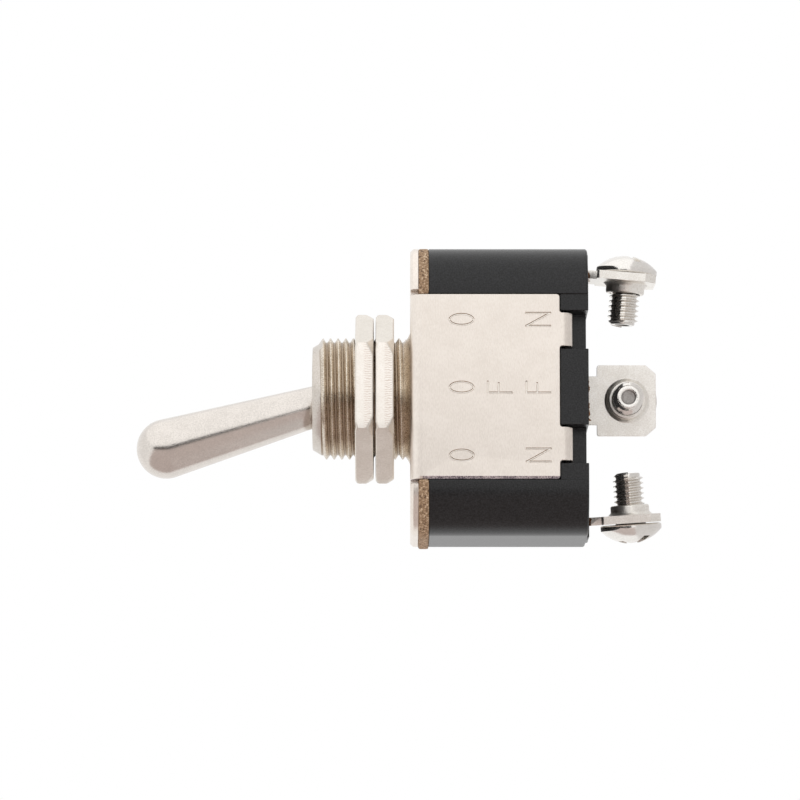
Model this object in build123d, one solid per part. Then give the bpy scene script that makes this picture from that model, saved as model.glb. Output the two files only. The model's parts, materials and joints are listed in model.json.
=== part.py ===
from build123d import *
import math
import os

# Panel toggle switch, on-off-on, with screw terminals. All lengths in millimetres.
# The origin is where the bushing's axis meets the face that lies against the panel.
# +Z runs along the bushing towards the lever and +X along the case, so the lever swings in XZ.

# Outline that the frame's plate, the gasket and the case share
body_length = 28.3
body_width = 17.4
body_corner = 4.25
assembly_gap = 0.05           # between pieces that are slid together and stay put

# Steel frame: a plate with two arms that are folded down over the case
sheet = 0.8
arm_width = 18.1
arm_proud = 0.05              # the arm's outer face stands this far out of the case's side
arm_drop = 14.5               # panel face to the lower edge of an arm
arm_corner = 0.3
fold_inside = 0.4             # inner radius of the folds
relief_width = 0.45           # cuts beside the arms that let the sheet fold cleanly
relief_depth = 1.5
plate_edge = 0.3              # broken upper edge left by stamping
tab_centre = 5.6              # four tabs clinch the arms under the case
tab_width = 3.27
tab_drop = 1.25               # lower edge of the arm to the lower face of a tab
tab_reach = 1.6               # how far a tab runs under the case
tab_root = 0.25
tab_fold_inside = 0.1

# Fibre gasket between frame and case
gasket_thick = 1.0
gasket_proud = 0.11
gasket_shift = 0.1            # it lies this far towards -X

# Moulded case
case_depth = 15.5             # gasket to the rear face
end_wall = 1.4
cavity_width = 10.8
cavity_corner = 2.0
floor_thick = 5.0
block_inset = 0.15            # rear blocks lie this far inside the case's sides
notch_depth = 2.75
notch_play = 0.24             # free space beside each tab
rear_channel = 0.15
rear_edge = 0.15
pad_height = 0.2              # raised pad around each terminal
pad_play = 0.02
pad_length = 3.0

# Threaded bushing
thread_radius = 6.0
bushing_front = 9.6           # panel face to the bushing's front face
lip_height = 0.85
lip_width = 0.95
foot_radius = 6.5
foot_height = 0.35
spigot_radius = 5.3           # passes through the frame
stake_radius = 5.75           # spread under the frame to hold it
stake_height = 0.4
mouth_radius = 3.1
mouth_flare = 0.25
seat_angle = 20               # height on the ball, in degrees, of the ring where it bears on its seat
skirt_radius = 4.6            # wider bore at the bottom, where the lever's tail swings
bore_depth = 4.6              # pivot to where the bore widens

# Two hexagon nuts
nut_across_flats = 14.7
nut_thick = 1.8
nut_turn = 2.4                # how far each nut is turned
nut_corner_rise = 0.5         # height of the corner chamfers, on the side towards the panel
nut_corner_run = 0.9
nut_clearance = 0.03
rear_nut_from = 1.6           # panel face to the rear nut's lower face
nut_spacing = 0.2             # bare thread between the nuts

# Bat lever with its ball, tail and cross pin
pivot_height = 6.8
lever_tilt = 16.1             # rest position, leaning towards -X
ball_radius = 3.5
ball_clearance = 0.05
shoulder_radius = 2.9
ball_underside = 1.4          # pivot to the flat underside of the ball
neck_height = 2.2
bat_taper = 3.5               # half angle
bat_tip_radius = 2.95
bat_tip_centre = 17.9
tail_radius = 1.95
tail_length = 11.5            # pivot to the open end of the tail
tail_bore_radius = 1.45
tail_bore_top = 3.0
pin_radius = 0.8
pin_length = 9.5
pin_clearance = 0.05
pin_fit = 0.01

# Plunger and its spring inside the tail
plunger_radius = 1.38
plunger_top = 8.6             # pivot to the plunger's upper end
plunger_tip_gap = 0.11        # between tip and rocker with the lever upright
spring_radius = 1.1           # mean radius
wire_radius = 0.17
spring_turns = 4
wire_facets = 4               # the thin wire's section is drawn with flats
spring_seat = 0.03

# Contact system in the case
rocker_sheet = 0.8
rocker_width = 5.0
rocker_tilt = 5.6             # either way
rocker_flat = 1.5             # half length of the level middle
rocker_slope = 18.0
rocker_knee = 5.3             # where the slope turns into the contact arm
rocker_end = 9.3
trunnion_radius = 0.4
trunnion_length = 7.6
trunnion_clearance = 0.05
contact_radius = 1.25
contact_height = 0.5
contact_offset = 8.0          # bushing's axis to the contacts
contact_gap = 0.03            # left between closed contacts
plate_thick = 0.8
plate_width = 5.0
plate_inner_end = 6.4
cradle_sheet = 0.7
cradle_length = 3.2
ear_inside = 3.0
ear_rise = 0.9                # trunnion axis to the top of an ear

# Terminals
terminal_sheet = 0.8
terminal_inset = 1.95         # end of the case to an outer terminal
right_lean = 4.9              # the outer terminals are bent towards the middle
left_lean = 3.8
right_twist = 2.8             # each terminal is turned a little about its own length
left_twist = 6.8
common_twist = 3.4
common_offset = 0.2           # the middle terminal's blade stands this far towards -X
tang_width = 2.4
peen_height = 0.15
peen_spread = 0.15
neck_width = 4.8
neck_length = 0.9
left_neck_length = 1.2        # the left terminal stands out further
blade_width = 7.0
blade_length = 5.8
blade_cut_across = 0.85
blade_cut_along = 1.0
blade_corner = 0.25
screw_from_end = 2.85         # end of the blade to the screw's axis
collar_radius = 1.9
collar_height = 1.0
collar_root = 0.3
slot_clearance = 0.02         # between a tang and the case

# Terminal screws
screw_radius = 1.5
screw_length = 5.0
screw_clearance = 0.03
head_radius = 3.0
head_height = 1.9
head_rim = 0.75               # upright part of the head's edge
head_crown = 1.9              # radius of the level top of the head
head_stand_off = 0.1          # the screws aren't run home
driver_slot_width = 0.75
driver_slot_depth = 0.85
cross_width = 0.7
cross_length = 3.0
cross_depth = 1.3
screw_turns = {"common": 35.0, "right": 25.0, "left": 60.0}

# Levels and half sizes that follow
terminal_offset = body_length / 2 - terminal_inset
plate_under = -sheet
case_top = plate_under - gasket_thick
case_rear = case_top - case_depth
cavity_floor = case_rear + floor_thick
arm_outside = body_width / 2 + arm_proud
arm_inside = arm_outside - sheet
recess_floor = arm_inside - assembly_gap
plate_face = cavity_floor + plate_thick
cradle_face = cavity_floor + cradle_sheet
fixed_contact_face = plate_face + contact_height
bore_radius = ball_radius + ball_clearance


def along_x(profile, length):
    """Extrude a YZ profile both ways along X."""
    return extrude(profile, amount=length / 2, both=True)


def polygon_face(plane, points):
    """A flat face with the given corners on a plane."""
    return plane * make_face(Polyline(*points, close=True))


def body_outline(margin, level, height):
    """A block with the rounded outline of the switch's body."""
    outline = RectangleRounded(body_length + 2 * margin, body_width + 2 * margin, body_corner + margin)
    return Pos(0, 0, level) * extrude(outline, amount=height)


def contact_arm_rise(distance):
    """Height of the rocker's upper face above its level middle."""
    slope = math.tan(math.radians(rocker_slope))
    if distance <= rocker_knee:
        return max(0.0, distance - rocker_flat) * slope
    arm = math.tan(math.radians(rocker_tilt))
    return (rocker_knee - rocker_flat) * slope + (distance - rocker_knee) * arm


def rocker_axis_level():
    """Level of the rocker's axis that closes a contact at full tilt."""
    tilt = math.radians(rocker_tilt)
    arm_depth = rocker_sheet / math.cos(tilt)
    sole = rocker_sheet / 2 + contact_arm_rise(contact_offset) - arm_depth - contact_height
    drop = contact_offset * math.sin(tilt) - sole * math.cos(tilt)
    return fixed_contact_face + contact_gap + drop


rocker_axis = rocker_axis_level()
plunger_reach = pivot_height - (rocker_axis + rocker_sheet / 2) - plunger_tip_gap


def make_frame():
    """Plate with two folded arms; four tabs are clinched under the case."""
    level = arm_outside
    profile = polygon_face(Plane.YZ, [
        (-level, -arm_drop), (-level, 0), (level, 0), (level, -arm_drop),
        (arm_inside, -arm_drop), (arm_inside, plate_under),
        (-arm_inside, plate_under), (-arm_inside, -arm_drop)])
    profile = fillet(profile.vertices().group_by(Axis.Z)[-1], fold_inside + sheet)
    inner = profile.vertices().filter_by(
        lambda v: abs(v.Z - plate_under) < 1e-6 and abs(abs(v.Y) - arm_inside) < 1e-6)
    profile = fillet(inner, fold_inside)
    saddle = along_x(profile, arm_width)
    lower_corners = saddle.edges().filter_by(Axis.Y).group_by(Axis.Z)[0]
    saddle = fillet(lower_corners, arm_corner)

    reach = arm_width + 2 * relief_width
    ends = body_outline(0, plate_under, sheet) - Box(reach, 2 * body_width, 4 * sheet)
    rim = ends.edges().filter_by(lambda e: e.center().Z > -1e-6 and abs(e.center().X) > reach / 2 + 0.1)
    ends = chamfer(rim, plate_edge)
    bridge = Pos(0, 0, -sheet / 2) * Box(reach + 0.02, 2 * (arm_outside - relief_depth), sheet)
    frame = saddle + ends + bridge

    tab = polygon_face(Plane.YZ, [
        (arm_outside, -arm_drop + sheet), (arm_outside, -arm_drop - tab_drop),
        (arm_inside - tab_reach, -arm_drop - tab_drop),
        (arm_inside - tab_reach, -arm_drop - tab_drop + sheet),
        (arm_inside, -arm_drop - tab_drop + sheet), (arm_inside, -arm_drop + sheet)])
    outside_corner = tab.vertices().sort_by(Axis.Y)[-2:].sort_by(Axis.Z)[0]
    tab = fillet(outside_corner, tab_fold_inside + sheet)
    inside_corner = tab.vertices().filter_by(
        lambda v: abs(v.Y - arm_inside) < 1e-6 and v.Z < -arm_drop + 0.5)
    tab = along_x(fillet(inside_corner, tab_fold_inside), tab_width)
    for x_side in (-1, 1):
        for turn in (0, 180):
            frame += Rot(0, 0, turn) * Pos(x_side * tab_centre, 0, 0) * tab
    tab_half = tab_width / 2
    roots = frame.edges().filter_by(Axis.Y).filter_by(
        lambda e: abs(e.center().Z + arm_drop) < 1e-4
        and abs(abs(abs(e.center().X) - tab_centre) - tab_half) < 1e-4)
    frame = fillet(roots, tab_root)
    return frame - Pos(0, 0, -sheet) * Cylinder(spigot_radius + slot_clearance, 4 * sheet)


def make_gasket():
    """Fibre sheet with the body's outline, cut back beside the arms."""
    gasket = Pos(-gasket_shift, 0, 0) * body_outline(gasket_proud, case_top, gasket_thick)
    fold_space = arm_inside - fold_inside - assembly_gap
    for side in (-1, 1):
        gasket -= Pos(0, side * (fold_space + body_width / 2), case_top) * Box(
            arm_width + 2 * assembly_gap, body_width, 4 * gasket_thick)
    opening = stake_radius + 2 * assembly_gap
    return gasket - Pos(0, 0, case_top) * Cylinder(opening, 4 * gasket_thick)


def make_case():
    """Moulded case with rounded ends, open towards the gasket."""
    case = body_outline(0, case_rear, case_depth)
    rim = case.edges().group_by(Axis.Z)[0]
    case = chamfer(rim, rear_edge)

    cavity = RectangleRounded(body_length - 2 * end_wall, cavity_width, cavity_corner)
    case -= Pos(0, 0, cavity_floor) * extrude(cavity, amount=case_depth)

    # side recesses that take the arms, with shallower blocks behind them
    arm_space = arm_width + 2 * assembly_gap
    arm_end = -arm_drop - assembly_gap
    for side in (-1, 1):
        middle = side * (recess_floor + body_width / 2)
        case -= Pos(0, middle, (case_top + arm_end) / 2) * Box(
            arm_space, body_width, case_top - arm_end)
        block = side * (body_width - block_inset)
        case -= Pos(0, block, case_rear) * Box(arm_space, body_width, case_depth)

    # notches where the tabs are folded under
    ledge = -arm_drop - tab_drop + sheet + assembly_gap
    notch_floor = body_width / 2 - notch_depth
    corner = tab_fold_inside + assembly_gap
    above = ledge + tab_drop + sheet
    below = case_rear - sheet
    notch = polygon_face(Plane.YZ, [
        (recess_floor, above), (recess_floor, ledge + corner), (recess_floor - corner, ledge),
        (notch_floor, ledge), (notch_floor, below), (body_width, below), (body_width, above)])
    notch = along_x(notch, tab_width + 2 * notch_play)
    channel = Pos(0, 0, case_rear) * Box(tab_width + 2 * notch_play, body_width, 2 * rear_channel)
    for x_side in (-1, 1):
        case -= Pos(x_side * tab_centre, 0, 0) * channel
        for turn in (0, 180):
            case -= Rot(0, 0, turn) * Pos(x_side * tab_centre, 0, 0) * notch

    # pads and slots of the terminals
    slot_long = tang_width + 2 * slot_clearance
    slot_wide = terminal_sheet + 2 * slot_clearance
    across = neck_width + 2 * pad_play
    end_pad = 2 * (terminal_inset - rear_edge)
    for x, turn, offset, pad_deep in (
        (0, 0, common_offset, pad_length),
        (terminal_offset, 90, 0, end_pad),
        (-terminal_offset, 90, 0, end_pad),
    ):
        place = Pos(x, 0, case_rear) * Rot(0, 0, turn)
        case += place * Pos(-offset, 0, -pad_height / 2) * Box(across, pad_deep, pad_height)
        case -= place * Box(slot_long, slot_wide, 4 * floor_thick)
    return case


def make_bushing():
    """Threaded bushing with the ball's seat, slots for the cross pin and a staked foot."""
    slope = math.tan(math.radians(seat_angle))
    seat_point = bore_radius / math.cos(math.radians(seat_angle))
    seat_top = pivot_height + (seat_point - mouth_radius) / slope
    seat_low = pivot_height + (seat_point - bore_radius) / slope
    step = pivot_height - bore_depth
    foot = plate_under - stake_height
    half = Plane.XZ * make_face(Polyline(
        (bore_radius, seat_low), (bore_radius, step), (skirt_radius, step), (skirt_radius, foot),
        (stake_radius, foot), (stake_radius, plate_under), (spigot_radius, plate_under),
        (spigot_radius, 0), (foot_radius, 0), (thread_radius, foot_height),
        (thread_radius, bushing_front - lip_height), (thread_radius - lip_width, bushing_front),
        (mouth_radius + mouth_flare, bushing_front), (mouth_radius, bushing_front - mouth_flare),
        (mouth_radius, seat_top), close=True))
    bushing = revolve(half, Axis.Z)

    slot_half = pin_radius + pin_clearance
    slot_end = pin_length / 2 + 2 * pin_clearance
    slot = Pos(0, 0, pivot_height) * Rot(90, 0, 0) * Cylinder(slot_half, 2 * slot_end)
    slot_drop = pivot_height - foot + 1
    slot += Pos(0, 0, pivot_height - slot_drop / 2) * Box(2 * slot_half, 2 * slot_end, slot_drop)
    return bushing - slot


def make_nut(level):
    """Hexagon nut with its corners cut back on the side towards the panel."""
    outline = RegularPolygon(nut_across_flats / 2, 6, major_radius=False)
    nut = extrude(outline, amount=nut_thick)
    corner = outline.bounding_box().max.X
    inner = corner - nut_corner_run
    side = polygon_face(Plane.XZ, [
        (-corner, nut_corner_rise), (-inner, 0), (inner, 0), (corner, nut_corner_rise),
        (corner, nut_thick), (-corner, nut_thick)])
    slab = extrude(side, amount=corner, both=True)
    for turn in (0, 60, 120):
        nut &= Rot(0, 0, turn) * slab
    nut -= Cylinder(thread_radius + nut_clearance, 4 * nut_thick)
    return Pos(0, 0, level) * Rot(0, 0, nut_turn) * nut


def lever_place():
    """Puts what is built upright about the pivot at the lever's rest position."""
    return Pos(0, 0, pivot_height) * Rot(0, -lever_tilt, 0)


def make_lever():
    """Bat, ball and bored tail, turned as one piece."""
    taper = math.radians(bat_taper)
    tangent_radius = bat_tip_radius * math.cos(taper)
    tangent_height = bat_tip_centre + bat_tip_radius * math.sin(-taper)
    neck_radius = tangent_radius - (tangent_height - neck_height) * math.tan(taper)
    shoulder_height = math.sqrt(ball_radius ** 2 - shoulder_radius ** 2)
    rim_radius = math.sqrt(ball_radius ** 2 - ball_underside ** 2)
    side = math.radians(45)
    tip_arc = ThreePointArc(
        (tangent_radius, tangent_height),
        (bat_tip_radius * math.cos(side), bat_tip_centre + bat_tip_radius * math.sin(side)),
        (0, bat_tip_centre + bat_tip_radius))
    ball_arc = ThreePointArc(
        (rim_radius, -ball_underside), (ball_radius, 0), (shoulder_radius, shoulder_height))
    outline = [
        Line((0, bat_tip_centre + bat_tip_radius), (0, -tail_bore_top)),
        Polyline((0, -tail_bore_top), (tail_bore_radius, -tail_bore_top),
                 (tail_bore_radius, -tail_length), (tail_radius, -tail_length),
                 (tail_radius, -ball_underside), (rim_radius, -ball_underside)),
        ball_arc,
        Polyline((shoulder_radius, shoulder_height), (neck_radius, neck_height),
                 (tangent_radius, tangent_height)),
        tip_arc]
    lever = revolve(Plane.XZ * make_face(outline), Axis.Z)
    lever -= Rot(90, 0, 0) * Cylinder(pin_radius + pin_fit, 4 * ball_radius)
    return lever_place() * lever


def make_pivot_pin():
    """Cross pin that turns in the bushing's slots."""
    return lever_place() * Rot(90, 0, 0) * Cylinder(pin_radius, pin_length)


def make_plunger_spring():
    """Compression spring between the tail's bore and the plunger."""
    low = -plunger_top + spring_seat + wire_radius
    high = -tail_bore_top - spring_seat - wire_radius
    path = Helix((high - low) / spring_turns, high - low, spring_radius)
    section = Plane(origin=path @ 0, z_dir=path % 0) * RegularPolygon(wire_radius, wire_facets)
    return lever_place() * Pos(0, 0, low) * sweep(section, path=path)


def make_plunger():
    """Plastic plunger with a round tip that runs along the rocker."""
    round_from = -(plunger_reach - plunger_radius)
    side = math.radians(45)
    tip = ThreePointArc(
        (0, -plunger_reach),
        (plunger_radius * math.sin(side), round_from - plunger_radius * math.cos(side)),
        (plunger_radius, round_from))
    outline = [tip, Polyline((plunger_radius, round_from), (plunger_radius, -plunger_top),
                             (0, -plunger_top), (0, -plunger_reach))]
    return lever_place() * revolve(Plane.XZ * make_face(outline), Axis.Z)


def rocker_place():
    """Puts what is built level about the rocker's axis at its rest tilt."""
    return Pos(0, 0, rocker_axis) * Rot(0, rocker_tilt, 0)


def make_rocker():
    """Bent brass strip that tilts on two trunnions and carries the moving contacts."""
    top = rocker_sheet / 2
    knee = top + contact_arm_rise(rocker_knee)
    end = top + contact_arm_rise(rocker_end)
    upper = [(rocker_flat, top), (rocker_knee, knee), (rocker_end, end)]
    right = upper + [(x, z - rocker_sheet / math.cos(math.radians(rocker_tilt))) for x, z in upper[:0:-1]]
    right.append((rocker_flat, top - rocker_sheet))
    left = [(-x, z) for x, z in reversed(right)]
    strip = extrude(polygon_face(Plane.XZ, right + left), amount=rocker_width / 2, both=True)
    strip += Rot(90, 0, 0) * Cylinder(trunnion_radius, trunnion_length)
    return rocker_place() * strip


def make_moving_contact(side):
    """Silver contact under one arm of the rocker."""
    tilt = math.radians(rocker_tilt)
    underside = rocker_sheet / 2 + contact_arm_rise(contact_offset) - rocker_sheet / math.cos(tilt)
    button = Pos(0, 0, -contact_height / 2) * Cylinder(contact_radius, contact_height)
    seat = Pos(side * contact_offset, 0, underside) * Rot(0, -side * rocker_tilt, 0)
    return rocker_place() * seat * button


def make_fixed_contact(side):
    """Silver contact on one contact plate."""
    button = Cylinder(contact_radius, contact_height)
    return Pos(side * contact_offset, 0, plate_face + contact_height / 2) * button


def make_contact_plate(side):
    """Brass plate on the cavity's floor, held by the outer terminal's tang."""
    outer_end = body_length / 2 - end_wall - assembly_gap
    length = outer_end - plate_inner_end
    plate = Box(length, plate_width, plate_thick)
    plate = fillet(plate.edges().filter_by(Axis.Z), plate_thick / 2)
    plate = Pos((outer_end + plate_inner_end) / 2, 0, plate_face - plate_thick / 2) * plate
    slot = Box(terminal_sheet + 2 * slot_clearance, tang_width + 2 * slot_clearance, 4 * plate_thick)
    plate -= Pos(terminal_offset, 0, plate_face) * slot
    return plate if side > 0 else plate.mirror(Plane.YZ)


def make_contact_cradle():
    """Brass cradle on the common terminal, with two ears that hold the rocker's trunnions."""
    outside = ear_inside + cradle_sheet
    top = rocker_axis + ear_rise
    profile = polygon_face(Plane.YZ, [
        (-outside, top), (-outside, cavity_floor), (outside, cavity_floor), (outside, top),
        (ear_inside, top), (ear_inside, cradle_face), (-ear_inside, cradle_face), (-ear_inside, top)])
    cradle = along_x(profile, cradle_length)
    folds = cradle.edges().filter_by(Axis.X).group_by(Axis.Z)[0]
    cradle = fillet(folds, cradle_sheet)
    notch = trunnion_radius + trunnion_clearance
    cradle -= Pos(0, 0, rocker_axis) * Rot(90, 0, 0) * Cylinder(notch, 4 * ear_inside)
    cradle -= Pos(0, 0, rocker_axis + ear_rise) * Box(2 * notch, 4 * ear_inside, 2 * ear_rise)
    slot = Box(tang_width + 2 * slot_clearance, terminal_sheet + 2 * slot_clearance, 4 * cradle_sheet)
    return cradle - Pos(0, 0, cradle_face) * slot


def terminal_profile(neck):
    """Face of the part of a terminal that stands out of the case, below z = 0."""
    half_blade = blade_width / 2
    half_neck = neck_width / 2
    end = -neck - blade_length
    half = [(half_neck, 0), (half_neck, -neck), (half_blade, -neck),
            (half_blade, end + blade_cut_along), (half_blade - blade_cut_across, end)]
    other = [(-x, z) for x, z in reversed(half)]
    face = polygon_face(Plane.XZ, half + other)
    corners = face.vertices().filter_by(lambda v: v.Z < -1e-6 and abs(v.X) > half_neck + 0.01)
    return fillet(corners, blade_corner)


def screw_level(neck):
    """Level of a terminal screw's axis below the pad, along the terminal."""
    return -neck - blade_length + screw_from_end


def terminal_blade(neck):
    """Blade with its neck and the drawn collar for the screw; the collar faces -Y."""
    blade = extrude(terminal_profile(neck), amount=terminal_sheet / 2, both=True)
    middle = Pos(0, 0, screw_level(neck))
    collar = middle * Pos(0, -(terminal_sheet + collar_height) / 2, 0) * Rot(90, 0, 0) * Cylinder(
        collar_radius, collar_height)
    blade += collar
    root = blade.edges().filter_by(GeomType.CIRCLE).filter_by(
        lambda e: abs(e.radius - collar_radius) < 1e-6).sort_by(Axis.Y)[-1]
    hole = middle * Rot(90, 0, 0) * Cylinder(screw_radius + screw_clearance, 8 * collar_height)
    return chamfer(root, collar_root) - hole


def terminal_tang(seat):
    """Tang that runs through the case and is peened over on the brass inside."""
    pad_face = case_rear - pad_height
    shank_length = seat + peen_height - pad_face
    shank = Pos(0, 0, shank_length / 2) * Box(tang_width, terminal_sheet, shank_length)
    head = Box(tang_width + 2 * peen_spread, terminal_sheet + 2 * peen_spread, peen_height)
    return shank + Pos(0, 0, shank_length - peen_height / 2) * head


def common_blade_place():
    """Puts the middle terminal's blade and screw on their pad."""
    return Pos(-common_offset, 0, case_rear - pad_height) * Rot(0, 0, -common_twist)


def make_common_terminal():
    """Middle terminal, almost flat across the switch."""
    tang = Pos(0, 0, case_rear - pad_height) * terminal_tang(cradle_face)
    return common_blade_place() * terminal_blade(neck_length) + tang


def outer_terminal_place(side):
    """Turns an outer terminal so that its screw's head faces away from the middle."""
    return Pos(side * terminal_offset, 0, case_rear - pad_height) * Rot(0, 0, -90 * side)


def make_outer_terminal(side, neck, lean, twist):
    """Outer terminal, bent and turned a little where it leaves the case."""
    bend = Rot(0, 90, 0) * Cylinder(terminal_sheet / 2, neck_width)
    sunk = Pos(0, 0, 2 * terminal_sheet) * Box(2 * blade_width, 8 * terminal_sheet, 4 * terminal_sheet)
    blade = Rot(-lean, 0, 0) * terminal_blade(neck) + bend - sunk
    return outer_terminal_place(side) * (Rot(0, 0, -twist) * blade + terminal_tang(plate_face))


def make_screw(neck, turn):
    """Raised-head screw along Y with its head on the +Y side of a terminal."""
    seat = terminal_sheet / 2 + head_stand_off
    screw = revolve(polygon_face(Plane.XZ, [
        (0, head_height), (0, -screw_length), (screw_radius, -screw_length), (screw_radius, 0),
        (head_radius, 0), (head_radius, head_rim), (head_crown, head_height)]), Axis.Z)
    slot = Pos(0, 0, head_height) * Box(4 * head_radius, driver_slot_width, 2 * driver_slot_depth)
    cross = Box(cross_length, cross_width, 2 * cross_depth) + Box(cross_width, cross_length, 2 * cross_depth)
    screw -= slot + Pos(0, 0, head_height) * cross
    return Pos(0, seat, screw_level(neck)) * Rot(-90, 0, 0) * Rot(0, 0, turn) * screw


def make_common_screw():
    """Screw of the middle terminal."""
    return common_blade_place() * make_screw(neck_length, screw_turns["common"])


def make_outer_screw(side, neck, lean, twist, turn):
    """Screw of an outer terminal, square to its blade."""
    return outer_terminal_place(side) * Rot(0, 0, -twist) * Rot(-lean, 0, 0) * make_screw(neck, turn)


front_nut_from = rear_nut_from + nut_thick + nut_spacing

nodes = {
    "frame": make_frame(),
    "gasket": make_gasket(),
    "case": make_case(),
    "bushing": make_bushing(),
    "nut_rear": make_nut(rear_nut_from),
    "nut_front": make_nut(front_nut_from),
    "lever": make_lever(),
    "pivot_pin": make_pivot_pin(),
    "plunger_spring": make_plunger_spring(),
    "plunger": make_plunger(),
    "rocker": make_rocker(),
    "moving_contact_right": make_moving_contact(1),
    "moving_contact_left": make_moving_contact(-1),
    "contact_cradle": make_contact_cradle(),
    "contact_plate_right": make_contact_plate(1),
    "contact_plate_left": make_contact_plate(-1),
    "fixed_contact_right": make_fixed_contact(1),
    "fixed_contact_left": make_fixed_contact(-1),
    "terminal_common": make_common_terminal(),
    "terminal_right": make_outer_terminal(1, neck_length, right_lean, right_twist),
    "terminal_left": make_outer_terminal(-1, left_neck_length, left_lean, left_twist),
    "screw_common": make_common_screw(),
    "screw_right": make_outer_screw(1, neck_length, right_lean, right_twist, screw_turns["right"]),
    "screw_left": make_outer_screw(-1, left_neck_length, left_lean, left_twist, screw_turns["left"]),
}

os.makedirs("parts", exist_ok=True)
for name, shape in nodes.items():
    export_step(shape, f"parts/{name}.step")
print("rocker axis", round(rocker_axis, 3), "plunger reach", round(plunger_reach, 3))
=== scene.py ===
import bmesh
import bpy
import json
from math import acos, asin, cos, pi, radians, sin, tan
from mathutils import Matrix, Vector


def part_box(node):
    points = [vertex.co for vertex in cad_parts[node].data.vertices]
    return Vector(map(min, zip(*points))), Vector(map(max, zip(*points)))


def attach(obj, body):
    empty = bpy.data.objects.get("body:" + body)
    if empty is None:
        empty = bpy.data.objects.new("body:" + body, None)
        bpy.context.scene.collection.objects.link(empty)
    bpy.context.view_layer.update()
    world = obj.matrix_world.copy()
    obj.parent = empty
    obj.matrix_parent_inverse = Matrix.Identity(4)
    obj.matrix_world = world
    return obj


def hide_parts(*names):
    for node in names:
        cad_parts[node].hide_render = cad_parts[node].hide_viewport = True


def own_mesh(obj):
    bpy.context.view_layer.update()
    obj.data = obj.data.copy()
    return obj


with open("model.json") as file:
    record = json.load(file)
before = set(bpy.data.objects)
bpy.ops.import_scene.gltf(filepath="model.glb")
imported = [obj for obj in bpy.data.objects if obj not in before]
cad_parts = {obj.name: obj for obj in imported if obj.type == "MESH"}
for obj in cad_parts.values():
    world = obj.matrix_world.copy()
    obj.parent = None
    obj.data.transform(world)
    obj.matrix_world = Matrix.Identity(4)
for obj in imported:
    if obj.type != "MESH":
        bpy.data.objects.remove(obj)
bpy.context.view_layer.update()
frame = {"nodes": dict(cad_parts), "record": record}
mm = 0.001

# Studio: a plain pale floor that hides nothing from below, a white surround, one large soft lamp
# and two matt cards for the polished metal to reflect. The switch is seen from its front long
# side with its lever to the left, through a long lens.
photo_side = 800
pixels_per_mm = 10.14
camera_distance = 500 * mm
camera_turn = radians(8.2)
sensor = 36 * mm
view_centre = Vector((-0.1 * mm, 0, 1.006 * mm))
toward_camera = Vector((-sin(camera_turn), -cos(camera_turn), 0))
picture_up = Vector((cos(camera_turn), -sin(camera_turn), 0))
picture_right = Vector((0, 0, -1))
fill_strength = 0.8

camera_data = bpy.data.cameras.new("camera")
camera_data.sensor_width = sensor * 1000
camera_data.lens = sensor * 1000 * camera_distance / (photo_side / pixels_per_mm * mm)
camera_data.clip_start = 10 * mm
camera_data.clip_end = 10
camera = bpy.data.objects.new("camera", camera_data)
bpy.context.scene.collection.objects.link(camera)
camera_axes = Matrix((picture_right, picture_up, toward_camera)).transposed().to_4x4()
camera.matrix_world = Matrix.Translation(view_centre + toward_camera * camera_distance) @ camera_axes
bpy.context.scene.camera = camera
bpy.context.scene.view_settings.view_transform = "Standard"


def set_sockets(node, **values):
    for name, value in values.items():
        node.inputs[name.replace("_", " ")].default_value = value


surround = bpy.data.worlds.new("surround")
surround.use_nodes = True
bpy.context.scene.world = surround
tree = surround.node_tree
tree.nodes.clear()
rays = tree.nodes.new("ShaderNodeLightPath")
shown = tree.nodes.new("ShaderNodeMath")
shown.operation = "MAXIMUM"
seen = tree.nodes.new("ShaderNodeMath")
seen.operation = "MAXIMUM"
tree.links.new(rays.outputs["Is Camera Ray"], shown.inputs[0])
tree.links.new(rays.outputs["Is Glossy Ray"], shown.inputs[1])
tree.links.new(shown.outputs[0], seen.inputs[0])
tree.links.new(rays.outputs["Is Transmission Ray"], seen.inputs[1])
white = tree.nodes.new("ShaderNodeBackground")
set_sockets(white, Color=(1, 1, 1, 1), Strength=1.0)
fill = tree.nodes.new("ShaderNodeBackground")
set_sockets(fill, Color=(1, 1, 1, 1), Strength=fill_strength)
either = tree.nodes.new("ShaderNodeMixShader")
tree.links.new(seen.outputs[0], either.inputs[0])
tree.links.new(fill.outputs[0], either.inputs[1])
tree.links.new(white.outputs[0], either.inputs[2])
world_out = tree.nodes.new("ShaderNodeOutputWorld")
tree.links.new(either.outputs[0], world_out.inputs["Surface"])


def facing_switch(elevation, distance):
    """Axes and place of something that faces the switch, by its height above the camera's line."""
    middle = toward_camera * cos(elevation) + picture_up * sin(elevation)
    tall_axis = picture_up * cos(elevation) - toward_camera * sin(elevation)
    return Matrix((picture_right, tall_axis, middle)).transposed().to_4x4(), middle * distance


def soft_lamp(name, elevation, distance, tall, wide, radiance):
    """A rectangular soft lamp that faces the switch."""
    axes, place = facing_switch(elevation, distance)
    data = bpy.data.lights.new(name, "AREA")
    data.shape = "RECTANGLE"
    data.size = wide
    data.size_y = tall
    data.energy = radiance * pi * tall * wide
    lamp = bpy.data.objects.new(name, data)
    lamp.matrix_world = Matrix.Translation(place) @ axes
    bpy.context.scene.collection.objects.link(lamp)


soft_lamp("soft_lamp", elevation=radians(72), distance=0.7, tall=2.75, wide=2.8, radiance=0.17)


def new_material(name, **base):
    """A procedural material with its shader's plain sockets set."""
    made = bpy.data.materials.new(name)
    made.use_nodes = True
    set_sockets(made.node_tree.nodes["Principled BSDF"], **base)
    return made


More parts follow.
